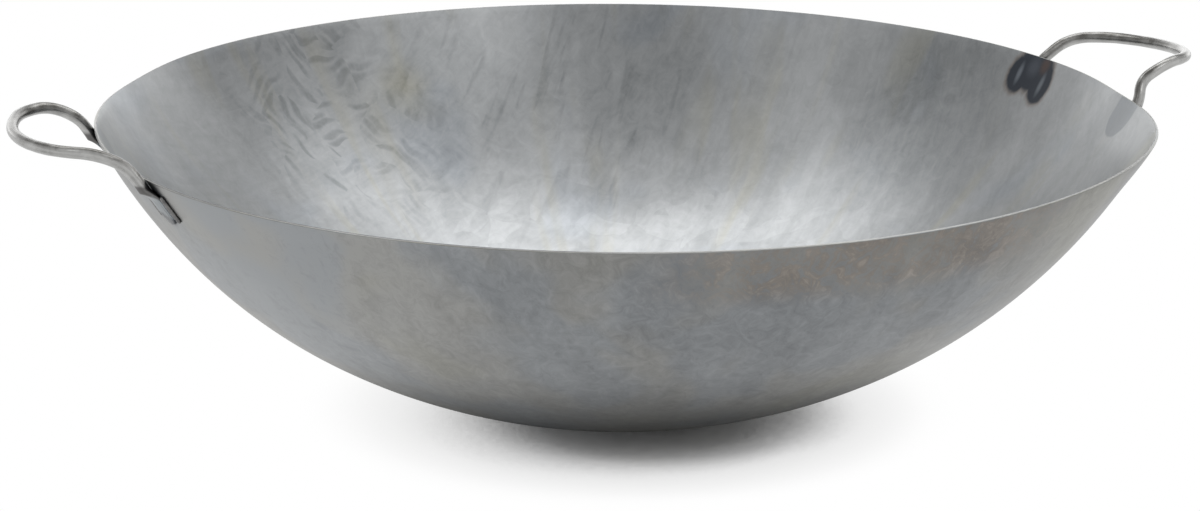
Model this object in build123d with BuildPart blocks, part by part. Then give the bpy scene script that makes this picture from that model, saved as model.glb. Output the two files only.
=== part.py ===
from build123d import *
import math
import os

# A round-bottomed carbon steel wok with two loop handles.
# The bowl is one sheet, pressed round and trimmed to a plain cut rim. Each handle is one
# round bar, bent to a loop and over the rim, with both ends hammered flat against the
# outside of the bowl and welded down along their sides.
# Origin: the middle of the small flat that the bowl rests on. +X: the right handle.

os.makedirs("parts", exist_ok=True)

# Bowl
rim_diameter = 610
bowl_depth = 175
sheet_thickness = 1.5
base_flat_diameter = 44
base_edge_angle = 3.4
rim_steepening = 2.81
rim_edge_radius = 0.35

# Handle bar and the flat shape of its loop, before it is bent over the rim
rod_diameter = 7
leg_spacing = 114.5
leg_length = 24.8
leg_closing_angle = 6.2
corner_radius = 37
grip_bow_angle = 24.3

# The bend of the loop over the rim, the same former for both handles
loop_bend_radius = 48.3
bend_start_drop = 9.7

# Each handle was bent and set by hand: the slope of its grip, how far it is turned on
# the wall, and how far its feet spread
grip_tilts = {"left": -3.7, "right": -0.5}
seat_twists = {"left": 0.2, "right": -5.5}
foot_splays = {"left": 12, "right": -3.2}

# Feet: the hammered ends of the bar, from a shoulder just below the rim
foot_spacing = 126
foot_width = 17
foot_thickness = 2
foot_top_drop = 8.5
foot_end_drop = 30
foot_clearance = 0.05
shoulder_drop = 5
neck_drop = 12.5
neck_thickness = 3.4

# Weld beads along both sides of each foot
weld_radius = 2
weld_overlap = 1.4
weld_top_drop = 10
weld_end_drop = 24

rim_radius = rim_diameter / 2
base_flat_radius = base_flat_diameter / 2
rod_radius = rod_diameter / 2
sides = {"left": 180, "right": 0}

# The wall meets the rim a little steeper than a plain ball of this width and depth would
rim_angle = 2 * math.degrees(math.atan2(bowl_depth, rim_radius)) + rim_steepening


# Curves shared by the bowl and the handles
def tangent_length(start, start_direction, end, end_direction):
    """Length of the equal end tangents of the two arcs that join two points."""
    chord = end - start
    both = start_direction + end_direction
    spread = 2 * (1 - start_direction.dot(end_direction))
    along = chord.dot(both)
    if spread < 1e-9:
        return chord.dot(chord) / (2 * along)
    return (math.sqrt(along**2 + spread * chord.dot(chord)) - along) / spread


def arc_pair(start, start_direction, end, end_direction):
    """Two tangent arcs from one point and direction to another, as edges."""
    length = tangent_length(start, start_direction, end, end_direction)
    first_corner = start + start_direction * length
    second_corner = end - end_direction * length
    joint = (first_corner + second_corner) / 2
    TangentArc(start, joint, tangent=start_direction)
    TangentArc(joint, end, tangent=second_corner - first_corner)


# The outline of the bowl's outside: a crown arc and a tighter wall arc
def slope_direction(angle):
    return Vector(math.cos(math.radians(angle)), math.sin(math.radians(angle)), 0)


base_edge = Vector(base_flat_radius, 0, 0)
rim_edge = Vector(rim_radius, bowl_depth, 0)
base_direction = slope_direction(base_edge_angle)
rim_direction = slope_direction(rim_angle)
profile_tangent = tangent_length(base_edge, base_direction, rim_edge, rim_direction)
crown_corner = base_edge + base_direction * profile_tangent
wall_corner = rim_edge - rim_direction * profile_tangent
joint_direction = wall_corner - crown_corner
wall_turn = math.radians(rim_angle) - math.atan2(joint_direction.Y, joint_direction.X)
wall_radius = profile_tangent / math.tan(wall_turn / 2)
wall_centre = rim_edge + Vector(-rim_direction.Y, rim_direction.X, 0) * wall_radius


def outline_stops(inset):
    """The outline's three stops and their directions, moved into the sheet by a distance."""
    joint = (crown_corner + wall_corner) / 2
    stops = []
    for point, direction in (
        (base_edge, base_direction),
        (joint, joint_direction.normalized()),
        (rim_edge, rim_direction),
    ):
        inward = Vector(-direction.Y, direction.X, 0)
        stops.append((point + inward * inset, direction))
    return stops


def wall_plane(azimuth, drop):
    """Plane on the bowl's outside, a length below the rim along the wall.

    Its X runs up the wall and its Z out of the metal.
    """
    slope = math.radians(rim_angle) - drop / wall_radius
    radial = Vector(1, 0, 0).rotate(Axis.Z, azimuth)
    radius = wall_centre.X + wall_radius * math.sin(slope)
    height = wall_centre.Y - wall_radius * math.cos(slope)
    up = radial * math.cos(slope) + Vector(0, 0, math.sin(slope))
    out = radial * math.sin(slope) - Vector(0, 0, math.cos(slope))
    return Plane(radial * radius + Vector(0, 0, height), x_dir=up, z_dir=out)


# Bowl
inside_base, inside_joint, inside_rim = outline_stops(sheet_thickness)
with BuildPart() as bowl:
    with BuildSketch(Plane.XZ):
        with BuildLine():
            Line((0, 0), base_edge)
            arc_pair(base_edge, base_direction, rim_edge, rim_direction)
            Line(rim_edge, inside_rim[0])
            TangentArc(inside_rim[0], inside_joint[0], tangent=inside_rim[1] * -1)
            TangentArc(inside_joint[0], inside_base[0], tangent=inside_joint[1] * -1)
            Line(inside_base[0], (0, inside_base[0].Y))
            Line((0, inside_base[0].Y), (0, 0))
        make_face()
    revolve(axis=Axis.Z)
    rim_corners = bowl.edges().filter_by(GeomType.CIRCLE).sort_by(Axis.Z)[-2:]
    fillet(rim_corners, rim_edge_radius)
bowl.part.label = "bowl"
export_step(bowl.part, "parts/bowl.step")


# The room that the bowl takes up, and the layer on its outside that the feet fill
def bowl_room(clearance):
    """The bowl filled up, grown by a clearance and carried on past the rim's cut edge."""
    (room_base, base_way), (room_joint, joint_way), (room_rim, rim_way) = outline_stops(-clearance)
    room_top = room_rim + rim_way * sheet_thickness
    with BuildPart() as room:
        with BuildSketch(Plane.XZ):
            with BuildLine():
                TangentArc(room_base, room_joint, tangent=base_way)
                TangentArc(room_joint, room_rim, tangent=joint_way)
                Line(room_rim, room_top)
                Line(room_top, (0, room_top.Y))
                Line((0, room_top.Y), (0, room_base.Y))
                Line((0, room_base.Y), room_base)
            make_face()
        revolve(axis=Axis.Z)
    return room.part


foot_seat = bowl_room(foot_clearance)
foot_outside = bowl_room(foot_clearance + foot_thickness)
with BuildPart() as foot_layer:
    add(foot_outside)
    add(foot_seat, mode=Mode.SUBTRACT)

# The flat loop: a bowed grip, two corners and two straight legs
leg_offset = leg_spacing / 2
corner_end_angle = 90 + leg_closing_angle
corner_turn = math.radians(corner_end_angle - grip_bow_angle)
bow_sine = math.sin(math.radians(grip_bow_angle))
bow_cosine = math.cos(math.radians(grip_bow_angle))
corner_sine = math.sin(math.radians(corner_end_angle))
corner_cosine = math.cos(math.radians(corner_end_angle))
corner_end_along = leg_offset - leg_length * corner_cosine
corner_start_along = corner_end_along - corner_radius * (corner_sine - bow_sine)
corner_end_reach = leg_length * corner_sine
corner_start_reach = corner_end_reach + corner_radius * (bow_cosine - corner_cosine)
grip_radius = corner_start_along / bow_sine
grip_half_length = grip_radius * math.radians(grip_bow_angle)
corner_end_length = grip_half_length + corner_radius * corner_turn


def flat_loop(length):
    """Place along the grip, reach from the bend's start, and direction angle.

    The length is measured along the bar from the middle of the grip.
    """
    if length < grip_half_length:
        angle = length / grip_radius
        along = grip_radius * math.sin(angle)
        reach = corner_start_reach + grip_radius * (math.cos(angle) - bow_cosine)
        return along, reach, angle
    if length < corner_end_length:
        angle = math.radians(grip_bow_angle) + (length - grip_half_length) / corner_radius
        along = corner_start_along + corner_radius * (math.sin(angle) - bow_sine)
        reach = corner_start_reach + corner_radius * (math.cos(angle) - bow_cosine)
        return along, reach, angle
    rest = length - corner_end_length
    along = corner_end_along + rest * corner_cosine
    reach = corner_end_reach - rest * corner_sine
    return along, reach, math.radians(corner_end_angle)


def seat_plane(side):
    """Plane that the loop is bent up from: X up the wall, Z out of it."""
    wall = wall_plane(sides[side], bend_start_drop)
    radial = Vector(wall.z_dir.X, wall.z_dir.Y, 0).normalized()
    radius = wall.origin.dot(radial)
    inward = radius - math.sqrt(radius**2 - leg_offset**2)
    turned = wall.x_dir.rotate(Axis((0, 0, 0), wall.z_dir), seat_twists[side])
    return Plane(wall.origin - radial * inward, x_dir=turned, z_dir=wall.z_dir)


def bar_station(side, length):
    """Place of the bar's middle line and its direction, counted up with the length."""
    end = math.copysign(1, length)
    along, reach, angle = flat_loop(abs(length))
    full_bend = math.radians(rim_angle - grip_tilts[side])
    bend = min(reach / loop_bend_radius, full_bend)
    beyond = max(reach - loop_bend_radius * full_bend, 0)
    up = loop_bend_radius * math.sin(bend) + beyond * math.cos(bend)
    out = loop_bend_radius * (1 - math.cos(bend)) + beyond * math.sin(bend)
    fall = -math.sin(angle) * end
    heading = Vector(fall * math.cos(bend), math.cos(angle), fall * math.sin(bend))
    seat = seat_plane(side)
    point = seat.from_local_coords(Vector(up, end * along, out))
    tip = seat.from_local_coords(Vector(up, end * along, out) + heading)
    return point, tip - point


def foot_plane(side, end):
    """Plane of one foot: on the wall at the rim, X down the foot, Z out of the wall."""
    across = math.degrees(math.asin(foot_spacing / 2 / rim_radius))
    wall = wall_plane(sides[side] - end * across, 0)
    middle = wall_plane(sides[side], 0)
    down = (middle.x_dir * -1).rotate(Axis((0, 0, 0), middle.z_dir), -end * foot_splays[side])
    flat_down = down - wall.z_dir * down.dot(wall.z_dir)
    return Plane(wall.origin, x_dir=flat_down.normalized(), z_dir=wall.z_dir)


def shoulder(side, end):
    """Place and upward direction of the bar where it stops being round."""
    foot = foot_plane(side, end)
    point = foot.from_local_coords(Vector(shoulder_drop, 0, rod_radius + foot_clearance))
    return point, foot.x_dir * -1


# Handles
def foot_plate(plane):
    """The hammered end, a rounded tongue that follows the wall."""
    straight_end = foot_end_drop - foot_width / 2
    with BuildPart() as plate:
        with BuildSketch(plane):
            with Locations(((foot_top_drop + straight_end) / 2, 0)):
                Rectangle(straight_end - foot_top_drop, foot_width)
            with Locations((straight_end, 0)):
                Circle(foot_width / 2)
        extrude(amount=foot_thickness * 2, both=True)
        add(foot_layer.part, mode=Mode.INTERSECT)
    return plate.part


def foot_neck(plane, point, upward):
    """The stretch in which the round bar turns into the flat foot."""
    middle = plane.from_local_coords(Vector(neck_drop, 0, foot_clearance + foot_thickness / 2))
    with BuildPart() as neck:
        with BuildSketch(Plane(point, x_dir=plane.y_dir, z_dir=upward * -1)):
            Circle(rod_radius)
        with BuildSketch(Plane(middle, x_dir=plane.y_dir, z_dir=plane.x_dir)):
            Ellipse(foot_width / 2, neck_thickness / 2)
        loft()
    return neck.part


handles = {}
for side in sides:
    feet = []
    for end in (-1, 1):
        plane = foot_plane(side, end)
        feet.append(foot_plate(plane))
        feet.append(foot_neck(plane, *shoulder(side, end)))
    first_point, first_upward = shoulder(side, -1)
    last_point, last_upward = shoulder(side, 1)
    stations = [(first_point, first_upward)]
    for length in (-corner_end_length, -grip_half_length, 0, grip_half_length, corner_end_length):
        stations.append(bar_station(side, length))
    stations.append((last_point, last_upward * -1))
    first_foot = foot_plane(side, -1)
    bar_end = Plane(first_point, x_dir=first_foot.y_dir, z_dir=first_upward)
    with BuildPart() as handle:
        with BuildLine() as bar_line:
            for (start, start_direction), (stop, stop_direction) in zip(stations, stations[1:]):
                arc_pair(start, start_direction, stop, stop_direction)
        with BuildSketch(bar_end):
            Circle(rod_radius)
        sweep(path=bar_line.line)
        add(feet)
        add(foot_seat, mode=Mode.SUBTRACT)
    handle.part.label = side + "_handle"
    export_step(handle.part, "parts/" + side + "_handle.step")
    handles[side] = handle.part
    bar_length = sum(edge.length for edge in bar_line.edges())
    print(side + "_handle: round bar", round(bar_length, 1), "mm between its shoulders")

# Weld beads: one along each side of each foot
def weld_bead(plane, across):
    """A round-ended bead on the wall, along one side of a foot."""
    azimuth = math.degrees(math.atan2(plane.origin.Y, plane.origin.X))
    up = wall_plane(azimuth, 0).x_dir
    rise = across * up.dot(plane.y_dir)
    top = plane.from_local_coords(Vector((weld_top_drop + rise) / -up.dot(plane.x_dir), across, 0))
    bottom = plane.from_local_coords(Vector((weld_end_drop + rise) / -up.dot(plane.x_dir), across, 0))
    with BuildPart() as bead:
        with BuildSketch(Plane(top, x_dir=plane.y_dir, z_dir=plane.x_dir)):
            Circle(weld_radius)
        extrude(amount=(bottom - top).length)
        with Locations(top, bottom):
            Sphere(weld_radius)
        add(foot_seat, mode=Mode.SUBTRACT)
    return bead.part


for side in sides:
    for end in (-1, 1):
        plane = foot_plane(side, end)
        row = "front" if plane.origin.Y < 0 else "rear"
        for edge in (-1, 1):
            across = edge * (foot_width / 2 + weld_radius - weld_overlap)
            middle = plane.from_local_coords(Vector(0, across, 0))
            edge_name = "inner" if abs(middle.Y) < abs(plane.origin.Y) else "outer"
            bead = weld_bead(plane, across)
            with BuildPart() as weld:
                add(bead)
                add(handles[side], mode=Mode.SUBTRACT)
            name = side + "_" + row + "_foot_" + edge_name + "_weld"
            weld.part.label = name
            export_step(weld.part, "parts/" + name + ".step")
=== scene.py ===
import math

import bpy
from mathutils import Matrix, Vector


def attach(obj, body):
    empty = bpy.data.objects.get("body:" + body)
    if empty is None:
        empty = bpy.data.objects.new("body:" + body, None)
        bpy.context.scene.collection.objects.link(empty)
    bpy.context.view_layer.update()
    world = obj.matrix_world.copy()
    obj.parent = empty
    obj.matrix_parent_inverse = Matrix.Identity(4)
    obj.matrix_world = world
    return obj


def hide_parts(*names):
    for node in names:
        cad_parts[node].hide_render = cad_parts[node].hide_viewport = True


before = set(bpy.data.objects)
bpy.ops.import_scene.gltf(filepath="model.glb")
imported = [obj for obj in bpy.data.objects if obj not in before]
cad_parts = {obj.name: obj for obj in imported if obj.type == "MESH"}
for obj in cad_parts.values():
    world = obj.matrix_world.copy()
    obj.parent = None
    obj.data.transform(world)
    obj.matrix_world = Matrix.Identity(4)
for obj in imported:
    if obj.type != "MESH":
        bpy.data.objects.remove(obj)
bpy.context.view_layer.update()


# Camera
# A long lens a good two metres in front, a little above the rim and looking down on it,
# with the right handle turned away to the back.
camera_place = (-0.80525, -2.24900, 0.75401)
camera_turn = math.radians(-19.443)
camera_pitch = -0.271439
camera_roll = 0.006109
film_width = 36
focal_length = 126.13
camera = bpy.data.objects.new("camera", bpy.data.cameras.new("camera"))
bpy.context.scene.collection.objects.link(camera)
camera.data.sensor_width = film_width
camera.data.lens = focal_length
camera.matrix_world = (
    Matrix.Translation(camera_place)
    @ Matrix.Rotation(camera_turn, 4, "Z")
    @ Matrix.Rotation(math.pi / 2 + camera_pitch, 4, "X")
    @ Matrix.Rotation(camera_roll, 4, "Z")
)
bpy.context.scene.camera = camera
bpy.context.scene.view_settings.view_transform = "Standard"


# Bowl
# One sheet of bare carbon steel, pressed round and trimmed to a plain cut rim. The rolled
# sheet's frost-like mottling went into the press with it, and welding left heat colours.
class Wire:
    """One output of a node. Arithmetic on it adds the Math nodes."""

    def __init__(self, socket):
        self.socket = socket

    @classmethod
    def node(cls, tree, kind, settings=None, sockets=None, output=0):
        """A node of any type: its settings first, then its sockets' values or links."""
        node = tree.nodes.new(kind)
        for name, value in (settings or {}).items():
            setattr(node, name, value)
        for key, value in (sockets or {}).items():
            if isinstance(value, Wire):
                tree.links.new(value.socket, node.inputs[key])
            else:
                node.inputs[key].default_value = value
        return cls(node.outputs[output]) if node.outputs else None

    def make(self, kind, settings=None, sockets=None, output=0):
        return Wire.node(self.socket.id_data, kind, settings, sockets, output)

    def also(self, output):
        """Another output of the same node."""
        return Wire(self.socket.node.outputs[output])

    def math(self, operation, *others):
        return self.make("ShaderNodeMath", {"operation": operation}, dict(enumerate((self,) + others)))

    def __add__(self, other):
        return self.math("ADD", other)

    def __sub__(self, other):
        return self.math("SUBTRACT", other)

    def __rsub__(self, other):
        return self.make("ShaderNodeMath", {"operation": "SUBTRACT"}, {0: other, 1: self})

    def __mul__(self, other):
        return self.math("MULTIPLY", other)

    def __truediv__(self, other):
        return self.math("DIVIDE", other)

    __radd__ = __add__
    __rmul__ = __mul__

    def rise(self, start, end, low=0.0, high=1.0):
        """A smooth step from low to high while the value goes from start to end."""
        ends = {"Value": self, "From Min": start, "From Max": end, "To Min": low, "To Max": high}
        return self.make("ShaderNodeMapRange", {"interpolation_type": "SMOOTHSTEP"}, ends)

    def blend(self, first, second):
        """Two colours mixed by this value, the share of the second."""
        return self.make("ShaderNodeMix", {"data_type": "RGBA"}, {0: self, 6: first, 7: second}, 2)

    def noise(self, scale, detail=2.0, roughness=0.5, distortion=0.0):
        sockets = {"Vector": self, "Scale": scale, "Detail": detail}
        sockets |= {"Roughness": roughness, "Distortion": distortion}
        return self.make("ShaderNodeTexNoise", None, sockets)

    def placed(self, turn=0.0, scale=(1, 1, 1), location=(0, 0, 0)):
        """This vector stretched, turned about Z and moved."""
        sockets = {"Vector": self, "Location": location, "Rotation": (0, 0, turn), "Scale": scale}
        return self.make("ShaderNodeMapping", None, sockets)

    def vector(self, operation, other, output="Vector"):
        return self.make("ShaderNodeVectorMath", {"operation": operation}, {0: self, 1: other}, output)

    def scaled(self, factor):
        return self.make("ShaderNodeVectorMath", {"operation": "SCALE"}, {"Vector": self, "Scale": factor})

    def parts(self):
        """The three numbers of a vector."""
        x = self.make("ShaderNodeSeparateXYZ", None, {0: self})
        return x, x.also(1), x.also(2)


rim_radius = 0.30498
bowl_depth = 0.175
sheet_thickness = 0.0015
base_flat_radius = 0.022
base_edge_angle = math.radians(3.4)
rim_angle = math.radians(62.5)
rim_edge_radius = 0.00035
rim_edge_steps = 4
section_step = 0.005
columns_round_bowl = 360
foot_half_spacing = 0.063

# The wall is fuller than two plain arcs from one length below the rim to another
fullness = 0.0027
fuller_from = 0.030
fuller_over = 0.170
plainer_from = 0.200
plainer_over = 0.140

# Pressed and handled by hand, the bowl is out of the round in four places, in degrees and metres
lobes = {
    name: {"height": height, "azimuth": math.radians(azimuth), "spread": math.radians(spread), "depth": depth}
    for name, height, azimuth, spread, depth in (
        ("Right Rim", 0.0034, -25, 16, 0.032),
        ("Right Wall", 0.0044, -28, 23, 0.215),
        ("Right Dent", -0.0024, -8, 7, 0.060),
        ("Left Dent", -0.0025, 145, 9, 0.050),
    )
}


# An arc that turns less than this, in radians, is a straight line, and so are two arcs whose
# directions spread less than that
least_turn = 1e-4
least_spread = 1e-9


def slope_direction(angle):
    return Vector((math.cos(angle), 0, math.sin(angle)))


def tangent_length(start, start_direction, end, end_direction):
    """Length of the equal end tangents of the two arcs that join two points."""
    chord = end - start
    along = chord.dot(start_direction + end_direction)
    spread = 2 * (1 - start_direction.dot(end_direction))
    if spread < least_spread:
        return chord.length_squared / (2 * along)
    return (math.sqrt(along**2 + spread * chord.length_squared) - along) / spread


def arc_points(start, direction, end, step):
    """Points on the arc that leaves start in a direction and ends at end, without start."""
    chord = end - start
    turn = direction.angle(chord, 0)
    across = chord - direction * chord.dot(direction)
    count = max(2, math.ceil(chord.length / step))
    if turn < least_turn:
        return [start + chord * index / count for index in range(1, count + 1)]
    radius = chord.length / (2 * math.sin(turn))
    points = []
    for index in range(1, count + 1):
        angle = 2 * turn * index / count
        ahead = direction * radius * math.sin(angle)
        points.append(start + ahead + across.normalized() * radius * (1 - math.cos(angle)))
    return points


def arc_pair_points(start, start_direction, end, end_direction, step):
    """Points on the two tangent arcs from one point and direction to another."""
    length = tangent_length(start, start_direction, end, end_direction)
    first_corner = start + start_direction * length
    second_corner = end - end_direction * length
    joint = (first_corner + second_corner) / 2
    middle = (second_corner - first_corner).normalized()
    return arc_points(start, start_direction, joint, step) + arc_points(joint, middle, end, step)


base_edge = Vector((base_flat_radius, 0, 0))
rim_edge = Vector((rim_radius, 0, bowl_depth))
base_direction = slope_direction(base_edge_angle)
rim_direction = slope_direction(rim_angle)
rim_inward = Vector((-rim_direction.z, 0, rim_direction.x))
profile_tangent = tangent_length(base_edge, base_direction, rim_edge, rim_direction)
crown_corner = base_edge + base_direction * profile_tangent
wall_corner = rim_edge - rim_direction * profile_tangent
joint_direction = wall_corner - crown_corner
wall_turn = rim_angle - math.atan2(joint_direction.z, joint_direction.x)
wall_radius = profile_tangent / math.tan(wall_turn / 2)
wall_centre = rim_edge + rim_inward * wall_radius


def smooth_share(value, end):
    """From 0 to 1 while the value goes from 0 to its end."""
    share = min(max(value / end, 0), 1)
    return share * share * (3 - 2 * share)


def belly(drop):
    """How much fuller the wall stands below the rim than two plain arcs."""
    fuller = smooth_share(drop - fuller_from, fuller_over)
    plainer = smooth_share(drop - plainer_from, plainer_over)
    return fullness * fuller * (1 - plainer)


def wall_place(azimuth, drop, is_plain=False):
    """A point of the bowl's outside, and its directions up the wall, around and out.

    A plain place is on the round wall of two arcs, without the bowl's fullness and dents.
    """
    slope = rim_angle - drop / wall_radius
    radial = Vector((math.cos(azimuth), math.sin(azimuth), 0))
    around = Vector((-math.sin(azimuth), math.cos(azimuth), 0))
    radius = wall_centre.x + wall_radius * math.sin(slope)
    if not is_plain:
        radius += belly(drop)
        for lobe in lobes.values():
            turn = (azimuth - lobe["azimuth"] + math.pi) % (2 * math.pi) - math.pi
            share = 1 - smooth_share(drop, lobe["depth"])
            radius += lobe["height"] * math.exp(-((turn / lobe["spread"]) ** 2)) * share
    height = wall_centre.z - wall_radius * math.cos(slope)
    up = radial * math.cos(slope) + Vector((0, 0, math.sin(slope)))
    out = radial * math.sin(slope) - Vector((0, 0, math.cos(slope)))
    return radial * radius + Vector((0, 0, height)), up, around, out


def bowl_section():
    """The sheet's section, from the middle of the outside over the rim to the inside's middle.

    Each row is a point, its length from the middle of the sheet, and its side, which goes from
    0 outside over the cut edge to 1 inside.
    """
    outside = [Vector(), base_edge / 2, base_edge]
    outside += arc_pair_points(base_edge, base_direction, rim_edge, rim_direction, section_step)
    lengths = [0.0]
    for first, second in zip(outside, outside[1:]):
        lengths.append(lengths[-1] + (second - first).length)
    slopes = [Vector((1, 0, 0))]
    slopes += [(after - before).normalized() for before, after in zip(outside, outside[2:])]
    slopes.append(rim_direction)
    edge = rim_direction * rim_edge_radius
    rows = []
    inner_rows = []
    for point, slope, length in zip(outside, slopes, lengths):
        inward = Vector((-slope.z, 0, slope.x)) * sheet_thickness
        rows.append([point, length, 0.0])
        inner_rows.append([point + inward, length, 1.0])
    rows[-1][0] = rows[-1][0] - edge
    inner_rows[-1][0] = inner_rows[-1][0] - edge
    # The cut edge is eased by a quarter round on either side, less the rows that it shares
    # with the sheet's two faces
    edge_corners = ((rim_edge_radius, 0.3), (sheet_thickness - rim_edge_radius, 0.6))
    for quarter, (corner, side) in enumerate(edge_corners):
        centre = rim_edge - edge + rim_inward * corner
        for index in range(1 - quarter, rim_edge_steps + 1 - quarter):
            angle = math.radians(90) * (quarter + index / rim_edge_steps)
            turned = rim_direction * math.sin(angle) - rim_inward * math.cos(angle)
            rows.append([centre + turned * rim_edge_radius, lengths[-1], side])
    return rows + inner_rows[::-1]


def station_object(name, points, values):
    """An object whose points stand in a row and carry named values for a node tree."""
    mesh = bpy.data.meshes.new(name)
    mesh.from_pydata(points, [(index, index + 1) for index in range(len(points) - 1)], [])
    for label, row in values.items():
        is_vector = isinstance(row[0], Vector)
        layer = mesh.attributes.new(label, "FLOAT_VECTOR" if is_vector else "FLOAT", "POINT")
        for item, value in zip(layer.data, row):
            setattr(item, "vector" if is_vector else "value", value)
    made = bpy.data.objects.new(name, mesh)
    bpy.context.scene.collection.objects.link(made)
    return made


def station_tree(name, inputs):
    """A node tree that lays a grid over a row of stations, with a reader of their values."""
    tree = bpy.data.node_groups.new(name, "GeometryNodeTree")
    tree.interface.new_socket("Stations", in_out="INPUT", socket_type="NodeSocketGeometry")
    for label, kind in (inputs | {"Columns": "Int", "Material": "Material"}).items():
        tree.interface.new_socket(label, in_out="INPUT", socket_type="NodeSocket" + kind)
    tree.interface.new_socket("Piece", in_out="OUTPUT", socket_type="NodeSocketGeometry")
    stations = Wire.node(tree, "NodeGroupInput", output="Stations")
    count = stations.make("GeometryNodeAttributeDomainSize", {"component": "MESH"}, {0: stations})
    columns = stations.also("Columns") + 1
    grid = count.make("GeometryNodeMeshGrid", None, {"Vertices X": count, "Vertices Y": columns})
    index = count.make("GeometryNodeInputIndex")
    row = ((index + 0.5) / columns).math("FLOOR")
    angle = (index - row * columns) / stations.also("Columns") * (2 * math.pi)

    def read(label, kind="FLOAT"):
        if label == "position":
            value = row.make("GeometryNodeInputPosition")
        else:
            value = row.make("GeometryNodeInputNamedAttribute", {"data_type": kind}, {"Name": label})
        sockets = {"Geometry": stations, "Value": value, "Index": row}
        return row.make("GeometryNodeSampleIndex", {"data_type": kind}, sockets)

    return tree, stations, grid, angle, read


merge_distance = 0.000004


def finish_tree(stations, piece, place, label, value):
    """The end of a tree: the grid put in place and named, closed, smooth and in its metal."""
    piece = piece.make("GeometryNodeSetPosition", None, {"Geometry": piece, "Position": place})
    named = {"Geometry": piece, "Name": label, "Value": value}
    piece = piece.make("GeometryNodeStoreNamedAttribute", {"data_type": "FLOAT_VECTOR"}, named)
    piece = piece.make("GeometryNodeMergeByDistance", None, {"Geometry": piece, "Distance": merge_distance})
    piece = piece.make("GeometryNodeSetShadeSmooth", None, {"Geometry": piece})
    piece = piece.make("GeometryNodeRealizeInstances", None, {"Geometry": piece})
    metal = {"Geometry": piece, "Material": stations.also("Material")}
    piece = piece.make("GeometryNodeSetMaterial", None, metal)
    piece.make("NodeGroupOutput", None, {0: piece})


def run_tree(made, tree, inputs):
    """Runs a tree on an object once and leaves it the result as its plain mesh."""
    modifier = made.modifiers.new(tree.name, "NODES")
    modifier.node_group = tree
    for item in tree.interface.items_tree:
        if item.in_out == "INPUT" and item.name in inputs:
            modifier[item.identifier] = inputs[item.name]
    graph = bpy.context.evaluated_depsgraph_get()
    shown = made.evaluated_get(graph)
    mesh = bpy.data.meshes.new_from_object(shown, preserve_all_data_layers=True, depsgraph=graph)
    made.modifiers.clear()
    mesh.name = made.name
    made.data = mesh


# The section is spun round the bowl's axis, a little out of the round in a few places
spun_inputs = {name + part: "Float" for name in lobes for part in ("", " Azimuth", " Spread")}
spun_tree, section, grid, angle, read = station_tree("section_spun_round", spun_inputs)
radius, _, height = read("position", "FLOAT_VECTOR").parts()
length = read("length")
for name in lobes:
    turn = (angle - section.also(name + " Azimuth") + math.pi).math("FLOORED_MODULO", 2 * math.pi) - math.pi
    lobe = ((turn / section.also(name + " Spread")).math("POWER", 2.0) * -1).math("EXPONENT")
    radius = radius + section.also(name) * lobe * read(name)
cosine = angle.math("COSINE")
sine = angle.math("SINE")
place = angle.make("ShaderNodeCombineXYZ", None, {0: radius * cosine, 1: radius * sine, 2: height})
flattened = {0: length * cosine, 1: length * sine, 2: read("side")}
blank = angle.make("ShaderNodeCombineXYZ", None, flattened)
outwards = grid.make("GeometryNodeFlipFaces", None, {"Mesh": grid})
finish_tree(section, outwards, place, "blank", blank)

# The sheet's marks are laid on the flat blank that it was pressed from: two lengths from its
# middle, and its side
section_rows = bowl_section()
blank_radius = section_rows[len(section_rows) // 2][1]
sheet_steel = bpy.data.materials.new("sheet_steel")
sheet_steel.use_nodes = True
sheet_steel.node_tree.nodes.clear()
blank = Wire.node(sheet_steel.node_tree, "ShaderNodeAttribute", {"attribute_name": "blank"}, output="Vector")
side = blank.parts()[2]
inside = side.rise(0.5, 0.9)
clouds = blank.noise(9.0, 4.0, 0.55, 0.4)
blotches = blank.noise(26.0, 3.0, 0.6, 0.8)
mottle = blank.noise(90.0, 5.0, 0.75, 1.2)
grain = blank.noise(420.0, 2.0, 0.6)


def spot(x, y, reach, core, which_side=1.0):
    """A soft round area on one side of the blank, 1 within its core and 0 beyond its reach."""
    return blank.vector("DISTANCE", (x, y, which_side), "Value").rise(reach, core)


# Frost-like feathers: dark willow leaves with paler edges, one direction within each cell
bent = blank.vector("ADD", blank.noise(28.0, 1.0).also("Color").scaled(0.028))
cell = blank.make("ShaderNodeTexVoronoi", None, {"Vector": bent, "Scale": 24.0}, "Color")
cell_turn, cell_shade, _ = cell.parts()
swirl = {"Vector": bent, "Angle": cell_turn * 2.2 + 0.3}
turned = blank.make("ShaderNodeVectorRotate", {"rotation_type": "Z_AXIS"}, swirl)
leaves = {"Vector": turned.placed(scale=(140, 30, 1)), "Scale": 1.0}
leaf = turned.make("ShaderNodeTexVoronoi", {"voronoi_dimensions": "2D"}, leaves, "Distance")
sparse = leaf.also("Color").parts()[0].rise(0.15, 0.50) * (cell_shade * 0.5 + 0.6)
frost = (spot(-0.125, 0.285, 0.105, 0.04) + spot(0.03, 0.23, 0.20, 0.05) * 0.22 + 0.05) * sparse
feathers = (leaf.rise(0.38, 0.52) * 0.10 - leaf.rise(0.50, 0.16)) * frost

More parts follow.
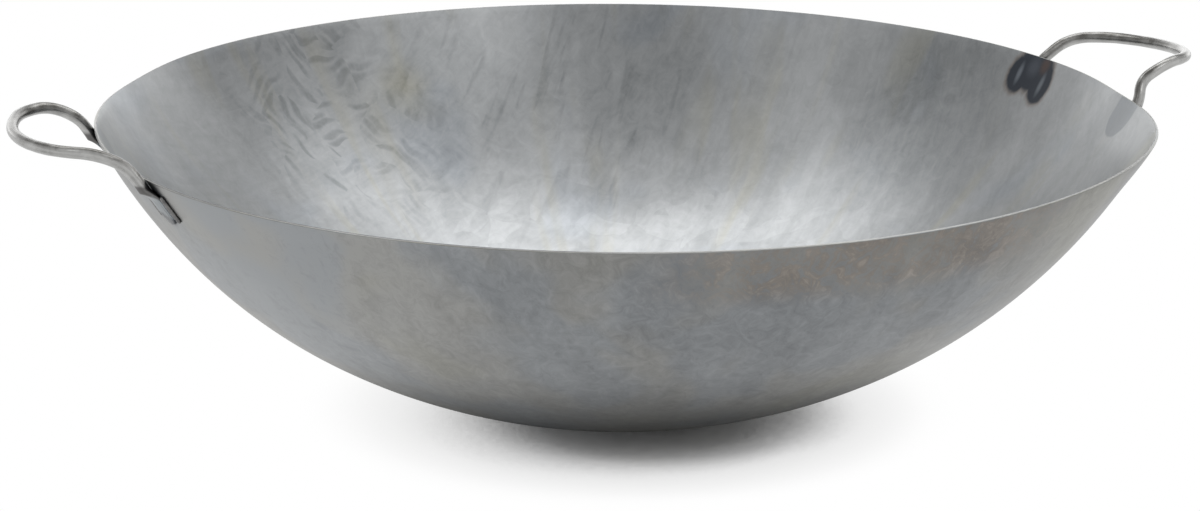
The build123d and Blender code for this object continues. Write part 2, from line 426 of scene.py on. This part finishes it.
# Longer dark streaks with the rolling of the sheet, and pale shards on the flatter middle
rolled = blank.placed(turn=math.radians(33)).placed(scale=(95, 15, 1)).noise(1.0, 2.0, 0.55, 0.5)
streaked = rolled.rise(0.56, 0.70) * (spot(0.05, 0.29, 0.15, 0.05) + 0.12)
shards = {"Vector": turned.placed(scale=(48, 30, 1)), "Scale": 1.0}
shard = turned.make("ShaderNodeTexVoronoi", {"voronoi_dimensions": "2D"}, shards, "Color").parts()[0]
blank_x, blank_y, _ = blank.parts()
around = blank_y.math("ARCTAN2", blank_x)
along = (blank_x * blank_x + blank_y * blank_y).math("SQRT")
shard = (shard.rise(0.45, 0.95) - 0.35) * along.rise(0.27, 0.21) * inside

# Faint streaks up the wall from the press, gone towards the middle, a few browner ones, and
# the wide strokes of a wiping cloth
polar = around.make("ShaderNodeCombineXYZ", None, {0: around * 11, 1: along * 5, 2: side * 7})
streaks = (polar.noise(1.0, 3.0, 0.6, 0.3) - 0.5) * along.rise(0.02, 0.13) + 0.5
stain = polar.vector("ADD", (37.0, 5.0, 0.0)).noise(0.8, 2.0, 0.5, 0.6)
wipes = blank.placed(turn=math.radians(-38)).placed(scale=(30, 200, 1)).noise(1.0, 3.0, 0.6, 0.7)

# All of it together is one shade, from the darkest steel at 0 to the palest at 1. Soft paler
# and darker areas are added to it as painted light and shade
shade = (clouds - 0.5) * 0.50 + (blotches - 0.5) * 0.34 + (grain - 0.5) * 0.08 + (streaks - 0.5) * 0.40
shade = shade + feathers * 0.20 - streaked * 0.15 + shard * 0.10 + (wipes - 0.5) * 0.22 + 0.5
shade = shade + (mottle - 0.5) * (inside * -0.60 + 1.05)
# Painted light and shade: soft paler and darker areas, each at a place on the blank, with its reach, core,
# side and amount
for x, y, reach, core, which_side, amount in (
    (-0.165, 0.200, 0.13, 0.03, 1.0, 0.04),
    (-0.330, -0.130, 0.12, 0.03, 0.0, 0.14),
    (-0.120, 0.285, 0.14, 0.04, 1.0, -0.20),
    (0.080, 0.280, 0.16, 0.03, 1.0, -0.20),
    (0.030, 0.362, 0.05, 0.01, 1.0, 0.22),
    (0.058, 0.200, 0.10, 0.03, 1.0, 0.12),
    (0.290, 0.120, 0.12, 0.02, 1.0, -0.34),
    (-0.315, -0.190, 0.24, 0.05, 0.0, 0.46),
    (0.270, -0.220, 0.13, 0.03, 0.0, 0.22),
):
    shade = shade + spot(x, y, reach, core, which_side) * amount

# The steel's greys run from neutral to bluish and olive in wide areas, with brown smears under
# the rim
steel_inside = shade.blend((0.120, 0.126, 0.129, 1), (0.315, 0.323, 0.327, 1))
steel_outside = shade.blend((0.127, 0.128, 0.124, 1), (0.317, 0.318, 0.308, 1))
bluish = shade.blend((0.112, 0.125, 0.143, 1), (0.280, 0.306, 0.336, 1))
olive = shade.blend((0.125, 0.124, 0.107, 1), (0.310, 0.307, 0.271, 1))
brown = (shade + (mottle - 0.5) * 0.9).blend((0.085, 0.076, 0.068, 1), (0.300, 0.275, 0.247, 1))
hue = blank.placed(location=(3.1, 1.7, 0)).noise(11.0, 2.0, 0.5, 0.5)
blue_area = hue + spot(-0.06, -0.30, 0.20, 0.05, 0.0) * 0.14
blue_area = blue_area + spot(-0.33, -0.12, 0.20, 0.06, 0.0) * 0.16 - 0.03
steel_outside = blue_area.rise(0.50, 0.64, 0.0, 0.50).blend(steel_outside, bluish)
steel_outside = blue_area.rise(0.48, 0.32, 0.0, 0.60).blend(steel_outside, olive)
smears = (mottle + hue * 0.5 - 0.25).rise(0.42, 0.54) * along.rise(0.322, 0.345)
smears = smears * spot(0.06, -0.355, 0.18, 0.09, 0.0)
steel_outside = smears.blend(steel_outside, brown)
steel_inside = stain.rise(0.58, 0.72, 0.0, 0.55).blend(steel_inside, olive)
steel_inside = (spot(-0.058, 0.312, 0.030, 0.004) * 0.8).blend(steel_inside, olive)
steel_inside = hue.rise(0.52, 0.70, 0.0, 0.35).blend(steel_inside, bluish)
steel_colour = inside.blend(steel_outside, steel_inside)

# A painted shade: a dark line along the inner edge of the rim, at the front left
rim_shade_line = along.rise(blank_radius - 0.0024, blank_radius - 0.0012) * side.rise(0.35, 0.55)
rim_shade_line = rim_shade_line * around.rise(math.radians(-97.4), math.radians(-120.3))
steel_colour = (rim_shade_line * 0.8).blend(steel_colour, (0.050, 0.052, 0.055, 1))

# Heat colours behind and round the feet: blue-black in two lobes where the welder stayed
# longest, a plain darker tab elsewhere
foot_across = math.asin(foot_half_spacing / rim_radius)
ragged = (blotches - 0.5) * 0.30 + (blank.noise(110.0) - 0.5) * 0.30


# A mark on one side of the sheet stays off the other by this many of its halves
side_weight = 8


def heat(azimuth, drop, half_width, half_length, which_side):
    """How far a place is from a heated patch's middle, in halves of the patch."""
    along, across, _ = blank.placed(turn=-azimuth).parts()
    widthwise = (across / (half_width * blank_radius / rim_radius)).math("POWER", 2.0)
    lengthwise = ((along - (blank_radius - drop)) / half_length).math("POWER", 2.0)
    other_side = (side - which_side).math("ABSOLUTE") * side_weight
    return (widthwise + lengthwise).math("SQRT") + ragged + other_side


front_lobe = heat(math.radians(9.0), drop=0.0165, half_width=0.0095, half_length=0.0135, which_side=1.0)
rear_lobe = heat(math.radians(13.4), drop=0.0140, half_width=0.0100, half_length=0.0130, which_side=1.0)
between = heat(math.radians(11.2), drop=0.007, half_width=0.0165, half_length=0.0165, which_side=1.0)
burnt = rear_lobe.math("MINIMUM", front_lobe).math("MINIMUM", between)
steel_colour = burnt.rise(1.30, 1.00, 0.0, 0.55).blend(steel_colour, (0.105, 0.082, 0.066, 1))
steel_colour = burnt.rise(1.10, 0.86).blend(steel_colour, (0.026, 0.030, 0.037, 1))

# Heat colours within the burnt patch. The last two rows are painted highlights: pale streaks down the middle
# of the two lobes
for azimuth, drop, half_width, half_length, share, colour in (
    (11.4, 0.0075, 0.0060, 0.0070, 0.85, (0.050, 0.056, 0.067, 1)),
    (9.6, 0.0045, 0.0045, 0.0060, 0.60, (0.075, 0.050, 0.040, 1)),
    (13.5, 0.0135, 0.0022, 0.0075, 0.75, (0.115, 0.128, 0.145, 1)),
    (8.9, 0.0165, 0.0022, 0.0075, 0.75, (0.115, 0.128, 0.142, 1)),
):
    patch = heat(math.radians(azimuth), drop, half_width, half_length, 1.0).rise(1.4, 0.2, 0.0, share)
    steel_colour = patch.blend(steel_colour, colour)

# Grey tabs on the inside behind the other three feet, straight-sided with a round end
tab_half_width = 0.0155
tab_straight_length = 0.0100
for azimuth, share in ((-foot_across, 0.70), (math.pi - foot_across, 0.5), (math.pi + foot_across, 0.6)):
    down, across, _ = blank.placed(turn=-azimuth).parts()
    rounded = (blank_radius - tab_straight_length - down).math("MAXIMUM", 0.0)
    tab = (across * across + rounded * rounded).math("SQRT") + (side - 1) * -side_weight
    tab = tab + (blotches - 0.5) * 0.003
    tab = tab.rise(tab_half_width + 0.0009, tab_half_width - 0.0009, 0.0, share)
    steel_colour = tab.blend(steel_colour, (0.118, 0.128, 0.138, 1))

# A dark halo on the outside round each of the four feet: heat colour, and painted shade where the feet meet
# the wall
for azimuth in (foot_across, -foot_across, math.pi - foot_across, math.pi + foot_across):
    heat_and_shade_halo = heat(azimuth, drop=0.013, half_width=0.0145, half_length=0.0175, which_side=0.0)
    heat_and_shade_halo = heat_and_shade_halo.rise(1.25, 0.85, 0.0, 0.8)
    steel_colour = heat_and_shade_halo.blend(steel_colour, (0.06, 0.065, 0.075, 1))

steel_roughness = (clouds - 0.5) * 0.12 + (grain - 0.5) * 0.05 - feathers * 0.02 + 0.40
relief = clouds * 0.6 + blotches * 0.08 + grain * 0.012
bump = relief.make("ShaderNodeBump", None, {"Strength": 0.25, "Distance": 0.0012, "Height": relief})
steel = relief.make(
    "ShaderNodeBsdfPrincipled",
    None,
    {"Base Color": steel_colour, "Metallic": 1.0, "Roughness": steel_roughness, "Normal": bump},
)
steel.make("ShaderNodeOutputMaterial", None, {"Surface": steel})

section_values = {"length": [row[1] for row in section_rows], "side": [row[2] for row in section_rows]}
bowl_inputs = {"Columns": columns_round_bowl, "Material": sheet_steel}
for name, lobe in lobes.items():
    section_values[name] = [1 - smooth_share(blank_radius - row[1], lobe["depth"]) for row in section_rows]
    bowl_inputs[name] = lobe["height"]
    bowl_inputs[name + " Azimuth"] = lobe["azimuth"]
    bowl_inputs[name + " Spread"] = lobe["spread"]
fuller = [point + Vector((belly(blank_radius - length), 0, 0)) for point, length, _ in section_rows]
bowl = station_object("pressed_bowl", fuller, section_values)
run_tree(bowl, spun_tree, bowl_inputs)
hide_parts("bowl")
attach(bowl, "root")


# Handles
# Each is one round steel bar, bent to a loop and on over the rim, with both ends hammered
# to flat tongues that lie against the outside of the bowl. Both were bent and set by hand.
handles = {
    "left": {"azimuth": math.pi, "tilt": -3.7, "twist": 0.2, "splay": 12},
    "right": {"azimuth": 0.0, "tilt": -0.5, "twist": -5.5, "splay": -3.2},
}
rod_radius = 0.0035
leg_offset = 0.05725
leg_length = 0.0248
corner_end = math.radians(90 + 6.2)
corner_radius = 0.037
grip_bow = math.radians(24.3)
loop_bend_radius = 0.0483
bend_start_drop = 0.0097
foot_half_width = 0.0085
foot_half_thickness = 0.001
foot_length = 0.030
foot_clearance = 0.00005
foot_spread_length = 0.0095
shoulder_drop = 0.005
round_squareness = 2.0
tongue_squareness = 3.5
bar_step = 0.0012
foot_stations = 48
columns_round_bar = 36
bar_unevenness = 0.12

corner_end_along = leg_offset - leg_length * math.cos(corner_end)
corner_start_along = corner_end_along - corner_radius * (math.sin(corner_end) - math.sin(grip_bow))
corner_start_reach = leg_length * math.sin(corner_end)
corner_start_reach += corner_radius * (math.cos(grip_bow) - math.cos(corner_end))
grip_radius = corner_start_along / math.sin(grip_bow)


def bar_station(handle, end, bow_share, corner_share):
    """Place and direction of the bar on its bent loop, from the grip's middle to a corner's end."""
    angle = grip_bow * bow_share + (corner_end - grip_bow) * corner_share
    radius = corner_radius if corner_share else grip_radius
    start_along = corner_start_along - radius * math.sin(grip_bow) if corner_share else 0
    along = start_along + radius * math.sin(angle)
    reach = corner_start_reach + radius * (math.cos(angle) - math.cos(grip_bow))
    wall, up, around, out = wall_place(handle["azimuth"], bend_start_drop, is_plain=True)
    flat_out = Vector((out.x, out.y, 0)).normalized()
    wall_reach = wall.dot(flat_out)
    inward = wall_reach - math.sqrt(wall_reach**2 - leg_offset**2)
    origin = wall - flat_out * inward
    turn = Matrix.Rotation(math.radians(handle["twist"]), 3, out)
    up = turn @ up
    across = turn @ around * -end
    full_bend = rim_angle - math.radians(handle["tilt"])
    bend = min(reach / loop_bend_radius, full_bend)
    beyond = max(reach - loop_bend_radius * full_bend, 0)
    rise = loop_bend_radius * math.sin(bend) + beyond * math.cos(bend)
    stand = loop_bend_radius * (1 - math.cos(bend)) + beyond * math.sin(bend)
    fall = -math.sin(angle)
    heading = up * fall * math.cos(bend) + across * math.cos(angle) + out * fall * math.sin(bend)
    return origin + up * rise + across * along + out * stand, heading * end


def foot_frame(handle, end):
    """A foot's place on the wall at the rim, its way down the wall, and the wall's up and out."""
    azimuth = handle["azimuth"] - end * math.asin(foot_half_spacing / rim_radius)
    place, up, _, out = wall_place(azimuth, 0)
    _, middle_up, _, middle_out = wall_place(handle["azimuth"], 0)
    down = Matrix.Rotation(math.radians(-end * handle["splay"]), 3, middle_out) @ middle_up * -1
    return place, (down - out * down.dot(out)).normalized(), up, out


def foot_rows(handle, end):
    """Stations down one foot: place, way down, out, half width, half thickness and squareness."""
    place, down, up, _ = foot_frame(handle, end)
    rows = []
    for index in range(foot_stations):
        share = math.sin(math.pi / 2 * index / (foot_stations - 1))
        down_by = shoulder_drop + (foot_length - shoulder_drop) * share
        flat = place + down * down_by
        point, _, _, out = wall_place(math.atan2(flat.y, flat.x), -down_by * down.dot(up))
        share = min((down_by - shoulder_drop) / foot_spread_length, 1)
        spread = smooth_share(down_by - shoulder_drop, foot_spread_length)
        squareness = round_squareness + (tongue_squareness - round_squareness) * spread
        half_width = rod_radius + (foot_half_width - rod_radius) * spread
        half_thickness = rod_radius + (foot_half_thickness - rod_radius) * math.sin(math.pi / 2 * share)
        lift = foot_clearance + half_thickness
        tip = max(down_by - (foot_length - foot_half_width), 0) / foot_half_width
        nose = max(down_by - (foot_length - foot_half_thickness), 0) / foot_half_thickness
        half_width *= math.sqrt(max(1 - tip**2, 0))
        half_thickness *= math.sqrt(max(1 - nose**2, 0))
        along = (down - out * down.dot(out)).normalized()
        rows.append([point + out * lift, along, out, half_width, half_thickness, squareness])
    return rows


def handle_rows(handle):
    """All stations of a handle: up one foot, along the bar and down the other foot."""
    stops = []
    for end in (-1, 1):
        place, down, _, out = foot_frame(handle, end)
        point = place + down * shoulder_drop + out * (rod_radius + foot_clearance)
        stops.append((point, down * end))
    stations = [stops[0]]
    for end, bow_share, corner_share in ((-1, 1, 1), (-1, 1, 0), (1, 0, 0), (1, 1, 0), (1, 1, 1)):
        stations.append(bar_station(handle, end, bow_share, corner_share))
    stations.append(stops[1])
    points = [stations[0][0]]
    for (start, leaving), (stop, arriving) in zip(stations, stations[1:]):
        points += arc_pair_points(start, leaving.normalized(), stop, arriving.normalized(), bar_step)
    first = [[place, along * -1] + rest for place, along, *rest in foot_rows(handle, -1)[::-1]]
    last = foot_rows(handle, 1)
    out = first[-1][2]
    bar = []
    for before, point, after in zip(points, points[1:], points[2:]):
        along = (after - before).normalized()
        out = (out - along * out.dot(along)).normalized()
        bar.append([point, along, out, rod_radius, rod_radius, round_squareness])
    along, carried = bar[-1][1:3]
    slip = math.atan2(along.dot(carried.cross(last[0][2])), carried.dot(last[0][2]))
    for index, row in enumerate(bar):
        row[2] = Matrix.Rotation(slip * index / len(bar), 3, row[1]) @ row[2]
    return first + bar + last


def row_object(name, rows):
    """The stations of a bar or bead, with the values that its skin needs."""
    lengths = [0.0]
    for first, second in zip(rows, rows[1:]):
        lengths.append(lengths[-1] + (second[0] - first[0]).length)
    values = {"across": [row[1].cross(row[2]) for row in rows], "out": [row[2] for row in rows]}
    for column, label in enumerate(("half_width", "half_thickness", "squareness"), 3):
        values[label] = [row[column] for row in rows]
    return station_object(name, [row[0] for row in rows], values | {"length": lengths})


# A row of stations is wrapped in a closed skin, round to nearly square in section, with
# the ripples of a weld where its height is more than nothing
skin_inputs = {"Ripple Height": "Float", "Ripple Length": "Float", "Unevenness": "Float"}
skin_tree, stations, grid, angle, read = station_tree("stations_wrapped", skin_inputs)
power = read("squareness").math("POWER", -1.0) * 2
centre = read("position", "FLOAT_VECTOR")
cosine = angle.math("COSINE")
sine = angle.math("SINE")
ripple = (read("length") / stations.also("Ripple Length") * math.pi).math("SINE").math("ABSOLUTE")
dents = (centre.noise(55.0, 1.0) - 0.8) * stations.also("Unevenness")
growth = ripple * stations.also("Ripple Height") + dents + 1
widthwise = cosine.math("ABSOLUTE").math("POWER", power) * cosine.math("SIGN") * read("half_width") * growth
outward = sine.math("ABSOLUTE").math("POWER", power) * sine.math("SIGN") * read("half_thickness") * growth
place = centre.vector("ADD", read("across", "FLOAT_VECTOR").scaled(widthwise))
place = place.vector("ADD", read("out", "FLOAT_VECTOR").scaled(outward))
bar = angle.make("ShaderNodeCombineXYZ", None, {0: widthwise, 1: outward, 2: read("length")})
finish_tree(stations, grid, place, "bar", bar)

# Drawn bar with die lines and smudges and a painted shade on one side, burnt black where it
# crosses the rim and at the toes, and blue-grey on the hammered tongues
bar_steel = bpy.data.materials.new("bar_steel")
bar_steel.use_nodes = True
bar_steel.node_tree.nodes.clear()
bar = Wire.node(bar_steel.node_tree, "ShaderNodeAttribute", {"attribute_name": "bar"}, output="Vector")
place = bar.make("ShaderNodeTexCoord", output="Object")
below_rim = (bowl_depth - place.parts()[2]) / math.sin(rim_angle)
die_lines = bar.placed(scale=(520, 520, 26)).noise(1.0, 3.0, 0.6)
smudges = place.noise(85.0, 3.0, 0.6, 0.5)
pits = place.noise(900.0, 1.0, 0.5)
# Painted shade: the bar is darker on one side of its section, the side that faces the wall at the feet
scale = bar.parts()[1].rise(0.0010, -0.0022, 0.0, 0.50)
shade = (die_lines - 0.5) * 0.85 + (smudges - 0.5) * 0.80 + (pits - 0.5) * 0.10 + 0.60 - scale
bar_colour = shade.blend((0.085, 0.083, 0.078, 1), (0.60, 0.60, 0.59, 1))
heated = below_rim + (smudges - 0.5) * 0.010
bar_colour = heated.rise(0.001, 0.005, 0.0, 0.75).blend(bar_colour, (0.030, 0.026, 0.026, 1))
tongue = (die_lines * 0.7 + smudges * 0.3).rise(0.3, 0.7).blend((0.05, 0.06, 0.07, 1), (0.27, 0.30, 0.315, 1))
bar_colour = heated.rise(0.009, 0.012).blend(bar_colour, tongue)
bar_colour = heated.rise(0.0205, 0.0235, 0.0, 0.90).blend(bar_colour, (0.025, 0.028, 0.034, 1))
bar_roughness = (smudges - 0.5) * 0.25 + (die_lines - 0.5) * 0.10 + 0.30
relief = die_lines * 0.4 + smudges * 0.8
bump = relief.make("ShaderNodeBump", None, {"Strength": 0.3, "Distance": 0.0003, "Height": relief})
metal = {"Base Color": bar_colour, "Metallic": 1.0, "Roughness": bar_roughness, "Normal": bump}
steel = relief.make("ShaderNodeBsdfPrincipled", None, metal)
steel.make("ShaderNodeOutputMaterial", None, {"Surface": steel})

for side_name, handle in handles.items():
    piece = row_object(side_name + "_bar", handle_rows(handle))
    plain = {"Ripple Height": 0.0, "Ripple Length": 1.0, "Unevenness": bar_unevenness}
    run_tree(piece, skin_tree, plain | {"Columns": columns_round_bar, "Material": bar_steel})
    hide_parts(side_name + "_handle")
    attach(piece, "root")


# Welds
# One short rippled bead of weld metal along each side of each foot, run by hand and left
# dark from its own heat.
weld_radius = 0.002
weld_overlap = 0.0014
weld_across = foot_half_width + weld_radius - weld_overlap
weld_top_drop = 0.010
weld_end_drop = 0.024
weld_run_out = weld_radius * 0.8
weld_length = weld_end_drop - weld_top_drop + weld_run_out * 2
weld_lift = 0.0007
weld_half_width = 0.00215
weld_half_height = 0.0011
ripple_height = 0.22
ripple_length = 0.0017
weld_unevenness = 0.5
weld_stations = 64
columns_round_weld = 20

weld_metal = bpy.data.materials.new("weld_metal")
weld_metal.use_nodes = True
weld_metal.node_tree.nodes.clear()
place = Wire.node(weld_metal.node_tree, "ShaderNodeTexCoord", output="Object")
scale = place.noise(300.0, 3.0, 0.6)
weld_colour = scale.blend((0.055, 0.056, 0.062, 1), (0.30, 0.295, 0.285, 1))
bump = scale.make("ShaderNodeBump", None, {"Strength": 0.5, "Distance": 0.0004, "Height": scale})
metal = {"Base Color": weld_colour, "Metallic": 1.0, "Roughness": 0.48, "Normal": bump}
steel = scale.make("ShaderNodeBsdfPrincipled", None, metal)
steel.make("ShaderNodeOutputMaterial", None, {"Surface": steel})

for side_name, handle in handles.items():
    for end in (-1, 1):
        foot_place, down, up, foot_out = foot_frame(handle, end)
        row_name = "front" if foot_place.y < 0 else "rear"
        sideways = foot_out.cross(down)
        for edge in (-1, 1):
            middle = foot_place + sideways * edge * weld_across
            edge_name = "inner" if abs(middle.y) < abs(foot_place.y) else "outer"
            rows = []
            for index in range(weld_stations):
                share = (1 - math.cos(math.pi * index / (weld_stations - 1))) / 2
                drop = weld_top_drop - weld_run_out + weld_length * share
                down_by = (drop + edge * weld_across * up.dot(sideways)) / -up.dot(down)
                flat = middle + down * down_by
                point, _, _, out = wall_place(math.atan2(flat.y, flat.x), drop)
                along = (down - out * down.dot(out)).normalized()
                nearest = min(share, 1 - share) * weld_length
                taper = math.sqrt(max(1 - max(1 - nearest / weld_radius, 0) ** 2, 0))
                half_width = weld_half_width * taper
                half_height = weld_half_height * taper
                rows.append([point + out * weld_lift, along, out, half_width, half_height, round_squareness])
            name = side_name + "_" + row_name + "_foot_" + edge_name + "_weld"
            piece = row_object(name + "_bead", rows)
            rippled = {"Ripple Height": ripple_height, "Ripple Length": ripple_length}
            rippled |= {"Unevenness": weld_unevenness, "Columns": columns_round_weld, "Material": weld_metal}
            run_tree(piece, skin_tree, rippled)
            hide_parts(name)
            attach(piece, "root")


# Floor
# A sheet of plain white paper, wider than the picture. It shows plain white where it lies
# open, and the lit paper with the object's soft shadow where the object closes it in.
paper = bpy.data.materials.new("paper")
paper.use_nodes = True
paper.node_tree.nodes.clear()
shadow_reach = 0.06
shadow_lean = Matrix.Rotation(camera_turn, 3, "Z") @ Vector((-0.25, 0.30, 1.0))
lean = dict(enumerate(shadow_lean.normalized()))
tilt = Wire.node(paper.node_tree, "ShaderNodeCombineXYZ", None, lean)
nearness = {"Distance": shadow_reach, "Normal": tilt}
open_share = tilt.make("ShaderNodeAmbientOcclusion", {"samples": 16}, nearness, "AO")
lit = open_share.make("ShaderNodeBsdfDiffuse", None, {"Color": (0.88, 0.88, 0.88, 1)})
white = open_share.make("ShaderNodeEmission", None, {"Strength": 1.0})
ray = open_share.make("ShaderNodeLightPath")
seen_white = open_share.rise(0.085, 0.23) * 0.76 + open_share.rise(0.15, 0.65) * 0.24
mirrored_white = open_share.rise(0.12, 0.90)
mirrored = ray.also("Is Glossy Ray") + ray.also("Is Transmission Ray")
white_share = seen_white * ray + mirrored_white * mirrored.math("MINIMUM", 1.0)
cover = white_share.make("ShaderNodeMixShader", None, {0: white_share, 1: lit, 2: white})
cover.make("ShaderNodeOutputMaterial", None, {"Surface": cover})

floor_mesh = bpy.data.meshes.new("floor")
floor_reach = 9
floor_corners = [(x * floor_reach, y * floor_reach, 0) for x, y in ((-1, -1), (1, -1), (1, 1), (-1, 1))]
floor_mesh.from_pydata(floor_corners, [], [(0, 1, 2, 3)])
floor_mesh.materials.append(paper)
floor = bpy.data.objects.new("floor", floor_mesh)
bpy.context.scene.collection.objects.link(floor)


# Light
# White surroundings, a wide soft lamp overhead and to the back, two small soft lamps high in
# front on either side, and a lit screen far behind.
world = bpy.data.worlds.new("studio")
bpy.context.scene.world = world
world.use_nodes = True
world.node_tree.nodes.clear()
ray = Wire.node(world.node_tree, "ShaderNodeLightPath")
seen = ray + ray.also("Is Glossy Ray") + ray.also("Is Transmission Ray")
lighting_strength = 0.4
strength = seen.math("MINIMUM", 1.0) * (1 - lighting_strength) + lighting_strength
surroundings = ray.make("ShaderNodeBackground", None, {"Color": (1, 1, 1, 1), "Strength": strength})
surroundings.make("ShaderNodeOutputWorld", None, {"Surface": surroundings})

to_camera_side = Matrix.Rotation(camera_turn, 4, "Z")
for name, place, tip, width, height, brightness in (
    ("overhead_lamp", (0.15, 0.88, 1.8), 0.0, 2.9, 0.9, 4.0),
    ("right_lamp", (1.15, -0.72, 1.8), 0.0, 0.9, 0.9, 2.2),
    ("left_lamp", (-1.35, -1.08, 1.8), 0.0, 0.5, 0.5, 2.4),
    ("lit_screen", (0.0, 3.3, 0.75), math.radians(90), 7.0, 1.4, 1.4),
):
    lamp = bpy.data.objects.new(name, bpy.data.lights.new(name, "AREA"))
    lamp.data.shape = "RECTANGLE"
    lamp.data.size = width
    lamp.data.size_y = height
    lamp.data.energy = brightness * math.pi * width * height
    lamp.matrix_world = to_camera_side @ Matrix.Translation(place) @ Matrix.Rotation(-tip, 4, "X")
    bpy.context.scene.collection.objects.link(lamp)

bpy.context.view_layer.update()
